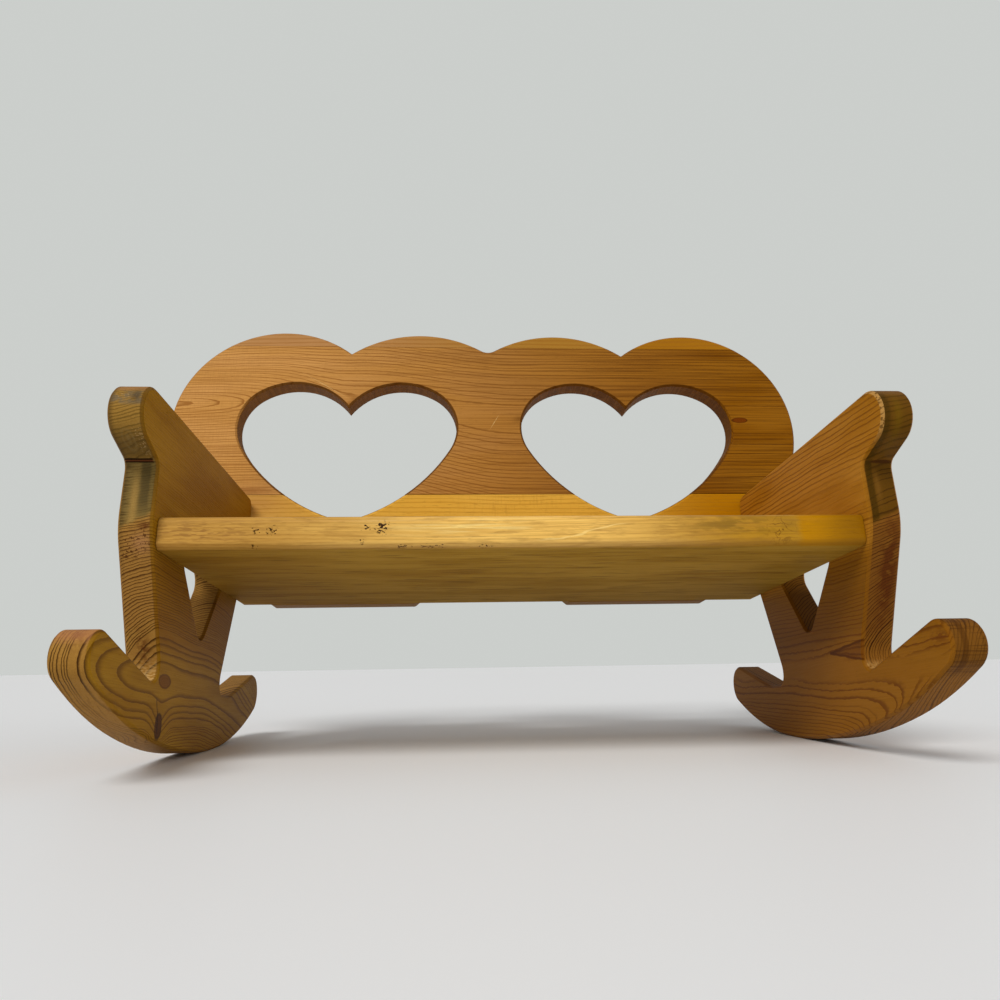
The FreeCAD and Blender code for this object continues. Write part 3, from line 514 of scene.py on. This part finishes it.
# Sawdust and slanting scratches in the notch, and a dark, rough end of the front tip.
notch = sawn * spot(depth, height, (-55.0, 40.0), (9.0, 7.0))
dust = notch * fade(height, 46.0, 41.0) * fade(wood.grit(2.0, 7.0), 0.3, 0.6)
wood.paint(dust * 0.8, rgb(184, 142, 80))
scratch_spacing = 2.3
strokes = (x + height * 0.8) / scratch_spacing
scratches = fade(abs(strokes - strokes.math("ROUND")), 0.09, 0.03)
wood.paint(scratches * notch * fade(height, 40.0, 46.0) * 0.5, rgb(176, 130, 70))
tip = sawn * fade(depth, -116.0, -128.0)
wood.paint(tip * 0.5, rgb(98, 60, 14))
wood.paint(tip * fade(wood.line_noise(x, 4.2, 9.0), 0.45, 0.62) * 0.7, rgb(78, 44, 8))
wood.paint(tip * fade(ripple, 0.5, 0.62) * 0.5, rgb(60, 30, 6))
mark = spot(depth, height, (-126.0, 48.8), (7.0, 3.0))
mark = mark * fade(wood.cloud((3.0, 4.0, 1.6), 8.0), 0.42, 0.52)
wood.paint(mark * flat * 0.8, rgb(112, 58, 10))

# A knot cut along its length makes a dark wedge, which widens from its point to the notch.
wedge_point = -11.5
wedge_length = 43.0
side = flat * band(depth, -62.0, wedge_point, 0.6)
spread = (wedge_point - depth) / wedge_length
off_middle = abs(height - 52.6 - spread * -2.6 + (wood.grit(9.0, 4.0) - 0.5) * 2.0)
wedge = fade(off_middle - spread * 6.0, 0.5, -0.5) * side
wood.paint(wedge * 0.7, rgb(112, 62, 14))
wood.paint(fade(abs(off_middle - spread * 6.0), 1.2, 0.3) * side * 0.85, rgb(76, 34, 4))
wood.paint(fade(abs(off_middle - spread * 2.6), 0.9, 0.2) * side * 0.6, rgb(80, 38, 6))

wood.paint(wood.fibre_lines() * 0.25, rgb(112, 68, 6))
wood.paint(pores * 0.3, rgb(84, 46, 8))
marks = (ripple - 0.5) * sawn * 0.12 - late * 0.05 - pores * 0.05
wood.finish(0.48 + sawn * 0.08, marks)
put_on(wood.material, right_end)


# Seat: one planed pine board, butted between the ends and the back and screwed to them from
# outside. Its front edge is worn pale and glossy, with a painted highlight in its middle, a few
# pits and a darker right end.

seat = lift_board("seat_board", "seat")
wood = Wood("seat_pine", ACROSS, 9.0)
x, depth, height = wood.x, wood.depth, wood.height
front = fade(depth, -71.0, -75.0)
top = fade(wood.facing[HEIGHT], 0.4, 0.8)
under = fade(wood.facing[HEIGHT], -0.4, -0.8)
pores = wood.pores()

pith_height = -40.0
pith_depth = 10.0
up = height - pith_height + wood.waves(160.0, 30.0, 14.0, 1.0)
out = depth - pith_depth + wood.waves(120.0, 20.0, 9.0, 2.0)
radius = distance(up, out) + wood.waves(8.0, 2.0, 0.6, 4.0)
late = wood.rings(radius / 2.3, 0.5)

# The underside and ends keep a darker olive tone of painted shade; the top is paler pine.
broad = blend(wood.patches(), rgb(158, 118, 32), rgb(176, 136, 48))
broad = blend(fade(x, -60.0, -190.0) * 0.35, broad, rgb(124, 78, 14))
broad = blend(top, broad, blend(wood.patches(), rgb(190, 140, 74), rgb(208, 160, 94)))
# A painted highlight makes the middle of the front pale; the same mask sets its glossy coat.
gloss_and_highlight = front * fade(abs(x - 20.0 + wood.waves(90.0, 8.0, 120.0, 3.0)), 170.0, 40.0)
pale = blend(gloss_and_highlight, rgb(198, 150, 72), rgb(244, 198, 104))
pale = blend(fade(x, 40.0, 150.0), pale, rgb(182, 134, 34))
wood.colour = blend(front, broad, pale)
wood.paint(late * (0.3 - front * 0.04), rgb(140, 94, 20))

# The front edge: streaks and mottling, rubbed bright left of its middle, with one bright wavy
# line right of it, curly figure at the left end and an orange, stained and crazed right end.
streaks = fade(wood.cloud((45.0, 1.6, 1.2), 8.0, 3.0), 0.5, 0.68) * front
wood.paint(streaks * 0.3, rgb(158, 108, 44))
mottled = fade(wood.cloud((16.0, 4.0, 2.4), 10.0, 3.0), 0.5, 0.66) * front
wood.paint(mottled * 0.3, rgb(146, 104, 44))
rubbed = fade(wood.cloud((40.0, 2.0, 1.5), 11.0, 2.0), 0.46, 0.6) * front
wood.paint(rubbed * spot(x, height, (-17.0, 121.0), (46.0, 6.0)) * 0.6, rgb(255, 230, 150))
wavy = height - 112.4 - fade(x, 22.0, 70.0) * 9.0 + wood.waves(14.0, 3.0, 3.0, 6.0)
bright_line = fade(abs(wavy), 0.7, 0.2) * band(x, 20.0, 68.0, 6.0) * front
wood.paint(bright_line * 0.7, rgb(255, 222, 138))
figure = fade(wood.cloud((8.0, 2.0, 1.3), 4.0), 0.48, 0.6) * front
wood.paint(figure * spot(x, height, (-172.0, 118.0), (34.0, 7.0)) * 0.6, rgb(132, 88, 46))
orange = fade(x + wood.waves(30.0, 3.0, 5.0, 5.0), 169.0, 174.0) * front
wood.paint(orange * 0.9, blend(fade(x, 175.0, 205.0), rgb(184, 126, 0), rgb(142, 94, 0)))
stain = fade(wood.cloud((12.0, 5.0, 4.0), 13.0, 3.0), 0.42, 0.58) * front
wood.paint(stain * spot(x, height, (134.0, 121.0), (34.0, 6.0)) * 0.65, rgb(122, 92, 24))
crazed = fade(abs(wood.grit(5.0, 7.0) - 0.5), 0.03, 0.01) * front
wood.paint(crazed * spot(x, height, (160.0, 118.0), (7.0, 9.0)) * 0.8, rgb(96, 58, 14))
dark_runs = fade(wood.cloud((26.0, 3.0, 1.6), 9.0, 3.0), 0.53, 0.66) * (1.0 - front)
wood.paint(dark_runs * 0.4, rgb(90, 60, 14))

# Small dark pits lie in groups on the front edge and along its lower arris. A group is given by
# the x and the height of its middle and by its reach along them.
pitted = 0.0
for middle_x, middle_height, reach_x, reach_height in (
        (-141.0, 118.5, 2.6, 2.2), (-132.5, 118.6, 4.4, 3.0), (-80.0, 119.8, 3.2, 2.0),
        (-70.0, 120.0, 4.4, 4.0), (-81.0, 112.0, 2.0, 2.0), (-142.0, 109.4, 3.0, 1.2),
        (-59.0, 109.4, 4.0, 1.2), (-42.0, 109.4, 9.0, 1.2), (-12.5, 109.4, 4.0, 1.2)):
    pitted = spot(x, height, (middle_x, middle_height), (reach_x, reach_height)) + pitted
pits = fade(wood.cloud((1.7, 1.1, 1.1), 12.0) + pitted * 0.2, 0.70, 0.74)
pits = pits * fade(pitted, 0.15, 0.5) * front

wood.paint(wood.fibre_lines() * 0.2, rgb(140, 94, 32))
wood.paint(pores * 0.25, rgb(104, 64, 18))
wood.paint(pits, rgb(50, 24, 6))
lower_arris = fade(height, 112.5, 109.0) * front
wood.paint(lower_arris * 0.4, rgb(150, 104, 36))
marks = late * -0.03 - pores * 0.05 - pits * 0.5 - streaks * 0.05
wood.finish(0.46 - front * 0.12 + under * 0.3, marks, gloss_and_highlight * 0.5)
put_on(wood.material, seat)


# Back: three boards glued edge to edge, then band-sawn to four lobes round a pair of hearts.
# The wide main board is amber with dark rings, the lower one pale; only four crescents are
# left of the top board.

back_main = lift_board("back_main_board", "back_main")
wood = Wood("back_main_pine", ACROSS, 13.0)
x, depth, height = wood.x, wood.depth, wood.height
sawn = wood.sawn_edges(DEPTH)
rear = fade(wood.facing[DEPTH], 0.5, 0.9)
pores = wood.pores()
ripple = wood.saw_marks(DEPTH)

# The pith comes close to the front face at the board's left end, where the ring lines close in
# long points, and lies deeper from the left heart on. A knot on the right bends the lines.
front_face = 107.5
left_heart = -119.4
left_tip = -268.0
right_knot = (220.8, 267.3)
pith_height = (x - left_heart).math("SMOOTH_MIN", 0.0, 60.0) * 0.047 + 287.5
pith_height = pith_height - fade(x, left_heart, 24.0) * 20.0
up = height - pith_height + wood.waves(150.0, 35.0, 4.0, 1.0) + wood.waves(40.0, 9.0, 1.2, 2.0)
inward = (x - left_tip).math("SMOOTH_MIN", 120.0, 60.0)
pith_behind = 5.0 + inward * 0.05 + inward ** 3.0 * 0.00001215
behind = pith_behind + (depth - front_face) + wood.waves(140.0, 30.0, 1.5, 3.0)
radius = distance(up, behind) + wood.waves(8.0, 2.0, 0.5, 4.0)
radius = radius - spot(x, height, (221.0, 267.0), (24.0, 6.0)) * 1.6
late = wood.rings(radius / (2.75 + x.math("MINIMUM", 0.0) * 0.0022), 0.32)
late = late * (1.0 - fade(x, -130.0, -90.0) * fade(abs(up), 9.0, 3.0))

# Towards the right the board darkens, partly its own colour and partly painted shade.
to_right = fade(x + wood.waves(200.0, 60.0, 120.0, 6.0), -230.0, 230.0)
amber = blend(to_right, rgb(208, 152, 84), rgb(130, 78, 0))
amber = blend(wood.patches() * 0.25, amber, rgb(182, 124, 34))
amber = blend(rear * 0.5, amber, rgb(190, 134, 74))
# The sawn edges, the hearts' walls among them, are dark: partly end grain, partly painted shade.
wood.colour = blend(sawn * 0.9, amber, rgb(108, 62, 0))
dark = blend(sawn * 0.85, blend(to_right, rgb(150, 94, 36), rgb(74, 34, 0)), rgb(46, 22, 0))
wood.paint(late * (0.85 - to_right * 0.2), dark)
fine = fade(wood.cloud((90.0, 0.8, 0.8), 31.0, 1.0), 0.48, 0.62)
wood.paint(fine * (0.35 + to_right * 0.1), dark)
sanding = fade(wood.cloud((0.9, 5.0, 14.0), 32.0, 1.0), 0.45, 0.6) * fade(x, -150.0, -220.0)
wood.paint(sanding * 0.14, rgb(160, 108, 56))
low_band = band(height, 200.0, 206.0, 1.2) * fade(x, -170.0, -200.0)
wood.paint(low_band * 0.35, rgb(120, 62, 22))
wood.paint(wood.fibre_lines() * 0.2, rgb(136, 86, 22))
wood.paint(pores * 0.35, rgb(96, 56, 14))
wood.knot(x, height, right_knot, (6.6, 2.3), rgb(112, 52, 0), rgb(74, 30, 0))
smudge = spot(x, height, (26.0, 268.0), (5.0, 2.6), 12.0)
wood.paint(smudge * 0.5, rgb(104, 60, 14))

# The hearts' walls are darkest at their rims, which get painted shade, and burred by the saw;
# two scratches run aslant.
by_hearts = fade(height, 312.0, 305.0)
rim = band(abs(wood.facing[DEPTH]), 0.35, 0.94, 0.05) * fade(abs(x), 214.0, 200.0) * by_hearts
wood.paint(rim * 0.75, rgb(84, 46, 6))
burr = sawn * band(abs(x), 24.0, 206.0, 3.0) * by_hearts
burr = burr * fade(wood.cloud((1.6, 30.0, 1.6), 33.0, 1.0), 0.45, 0.6)
wood.paint(burr * 0.3, rgb(150, 98, 34))
falling = fade(abs(height - 297.0 + (x + 138.0) * 0.6), 0.4, 0.12)
rising = fade(abs(height - 265.0 - (x - 4.7) * 1.7), 0.6, 0.2)
scratch = falling * spot(x, height, (-140.0, 299.0), (16.0, 12.0))
scratch = scratch + rising * spot(x, height, (4.7, 265.0), (4.0, 7.0))
wood.paint(scratch * fade(wood.grit(2.0, 9.0), 0.3, 0.5) * 0.8, rgb(226, 188, 122))
marks = (ripple - 0.5) * sawn * 0.15 - late * 0.05 - pores * 0.05 - scratch * 0.1
wood.finish(0.44 + sawn * 0.1, marks)
put_on(wood.material, back_main)


def flat_sawn_rings(wood, pith_height, ring_width):
    """Late wood of a back board cut well in front of its pith, which lies behind the rear face."""
    pith_depth = 170.0
    up = wood.height - pith_height + wood.waves(150.0, 35.0, 9.0, 1.0)
    behind = wood.depth - pith_depth + wood.waves(140.0, 30.0, 6.0, 3.0)
    radius = distance(up, behind) + wood.waves(8.0, 2.0, 0.5, 4.0)
    return wood.rings(radius / ring_width, 0.5)


back_lower = lift_board("back_lower_board", "back_lower")
wood = Wood("back_lower_pine", ACROSS, 17.0)
x, height = wood.x, wood.height
sawn = wood.sawn_edges(DEPTH)
rear = fade(wood.facing[DEPTH], 0.5, 0.9)
pores = wood.pores()
ripple = wood.saw_marks(DEPTH)
late = flat_sawn_rings(wood, 120.0, 2.6)

golden = blend(fade(x, 60.0, 200.0), rgb(228, 174, 64), rgb(184, 122, 0))
golden = blend(fade(x, -120.0, -200.0), golden, rgb(204, 150, 76))
golden = blend(wood.patches() * 0.35 * fade(x, 120.0, 40.0), golden, rgb(238, 190, 90))
golden = blend(rear * 0.7, golden, rgb(204, 152, 90))
wood.colour = blend(sawn * 0.85, golden, rgb(126, 80, 10))
wood.paint(late * 0.4, blend(sawn, rgb(168, 112, 22), rgb(70, 38, 8)))
chatter = fade(wood.cloud((1.6, 30.0, 12.0), 14.0), 0.5, 0.7)
chatter = chatter * spot(x, height, (20.0, 185.0), (55.0, 40.0))
wood.paint(chatter * 0.2, rgb(180, 122, 40))
wood.paint(wood.fibre_lines() * 0.2, rgb(164, 110, 30))
wood.paint(pores * 0.3, rgb(120, 74, 18))
wood.finish(0.42 + sawn * 0.1, (ripple - 0.5) * sawn * 0.15 - late * 0.03 - pores * 0.05)
put_on(wood.material, back_lower)

wood = Wood("back_crest_pine", ACROSS, 21.0)
x, height = wood.x, wood.height
sawn = wood.sawn_edges(DEPTH)
ripple = wood.saw_marks(DEPTH)
late = flat_sawn_rings(wood, 300.0, 2.2)

ochre = blend(fade(x, -150.0, 60.0), rgb(182, 132, 80), rgb(168, 120, 44))
ochre = blend(fade(x, 112.0, 120.0), ochre, rgb(164, 108, 16))
wood.colour = blend(sawn * 0.6, ochre, rgb(140, 94, 30))
wood.paint(late * 0.5, rgb(150, 94, 26))
wood.paint(wood.fibre_lines() * 0.2, rgb(140, 88, 22))
glue_line = fade(height, 337.3, 336.6) * fade(x, 100.0, 124.0)
wood.paint(glue_line * 0.7, rgb(96, 50, 4))
wood.finish(0.44 + sawn * 0.1, (ripple - 0.5) * sawn * 0.15 - late * 0.03)
for node in ("back_left_outer_crest", "back_left_inner_crest", "back_right_inner_crest",
             "back_right_outer_crest"):
    put_on(wood.material, lift_board(node, node + "_wood"))


# Screws and plugs: zinc-plated wood screws sunk into the boards, each hidden by a plug of
# face-grain pine glued in over its head and pared flush, which leaves it a little smoother.

wood = Wood("plug_wood", HEIGHT, 25.0)
wood.colour = blend(fade(wood.fibres, 0.3, 0.7), rgb(196, 142, 66), rgb(150, 98, 38))
wood.finish(0.42, (wood.fibres - 0.5) * -0.01)
for node in ("left_end_plugs", "right_end_plugs", "back_plugs"):
    put_on(wood.material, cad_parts[node])

screw_steel = bpy.data.materials.new("screw_steel")
tree = empty_tree(screw_steel)
place = Socket(tree, tree.nodes.new("ShaderNodeTexCoord").outputs["Object"])
tarnish = place.node("ShaderNodeTexNoise", {}, {"Vector": place, "Scale": 600.0, "Detail": 2.0})
zinc = blend(fade(tarnish, 0.4, 0.7), rgb(190, 188, 180), rgb(150, 146, 132))
shader = place.node("ShaderNodeBsdfPrincipled", {}, {
    "Base Color": zinc, "Metallic": 1.0, "Roughness": 0.35 + tarnish * 0.2})
shader.node("ShaderNodeOutputMaterial", {}, {"Surface": shader})
for node in ("left_end_screws", "right_end_screws", "back_screws"):
    put_on(screw_steel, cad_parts[node])


# Where it is shown: a plain pale floor, so wide that its edge is far off, one broad soft light
# from above on the left, a weaker one from the right and an even sky.

floor_width = 60.0
bpy.ops.object.select_all(action="DESELECT")
bpy.ops.mesh.primitive_plane_add(size=floor_width, location=(0.0, 0.0, 0.0))
floor = bpy.context.active_object
floor.name = "floor"
pale_floor = bpy.data.materials.new("pale_floor")
tree = empty_tree(pale_floor)
place = Socket(tree, tree.nodes.new("ShaderNodeTexCoord").outputs["Object"])
shader = place.node("ShaderNodeBsdfPrincipled", {}, {
    "Base Color": (0.91, 0.93, 0.95, 1.0), "Roughness": 0.5})
shader.node("ShaderNodeOutputMaterial", {}, {"Surface": shader})
put_on(pale_floor, floor)


def add_sun(name, towards, strength, softness, colour):
    """A sun that shines in a direction; its softness is how wide it looks, in degrees."""
    light = bpy.data.lights.new(name, "SUN")
    light.energy = strength
    light.angle = math.radians(softness)
    light.color = colour
    sun = bpy.data.objects.new(name, light)
    bpy.context.scene.collection.objects.link(sun)
    sun.rotation_euler = Vector(towards).to_track_quat("-Z", "Y").to_euler()


add_sun("key", towards=(0.45, 0.80, -0.95), strength=1.9, softness=28.0, colour=(1.0, 0.98, 0.95))
add_sun("fill", towards=(-0.85, 0.60, -0.35), strength=0.45, softness=60.0, colour=(1.0, 0.98, 0.96))

# The sky lights the bench evenly. The camera sees a plain pale grey in its place.
world = bpy.data.worlds.new("even_sky")
bpy.context.scene.world = world
tree = empty_tree(world)
camera_ray = Socket(tree, tree.nodes.new("ShaderNodeLightPath").outputs["Is Camera Ray"])
sky = camera_ray.node("ShaderNodeBackground", {}, {
    "Color": (1.0, 0.99, 0.97, 1.0), "Strength": 0.36})
backdrop = camera_ray.node("ShaderNodeBackground", {}, {
    "Color": (0.60, 0.62, 0.60, 1.0), "Strength": 1.0})
shown = camera_ray.node("ShaderNodeMixShader", {}, {0: camera_ray, 1: sky, 2: backdrop})
shown.node("ShaderNodeOutputWorld", {}, {"Surface": shown})


# The camera stands low in front of the bench, a little left of its middle, and looks up.

camera_data = bpy.data.cameras.new("camera")
camera_data.lens = 27.05
camera_data.sensor_width = 36.0
camera_data.clip_start = 0.01
camera = bpy.data.objects.new("camera", camera_data)
bpy.context.scene.collection.objects.link(camera)
camera_place = Vector((-0.02914, -0.50842, 0.05267))
forward = Vector((0.05914, 0.97465, 0.21577)).normalized()
right = Vector((0.99825, -0.0571, -0.01571))
right = (right - forward * right.dot(forward)).normalized()
upward = right.cross(forward)
camera.matrix_world = Matrix((
    (right.x, upward.x, -forward.x, camera_place.x),
    (right.y, upward.y, -forward.y, camera_place.y),
    (right.z, upward.z, -forward.z, camera_place.z),
    (0.0, 0.0, 0.0, 1.0),
))
bpy.context.scene.camera = camera
bpy.context.scene.view_settings.view_transform = "Standard"
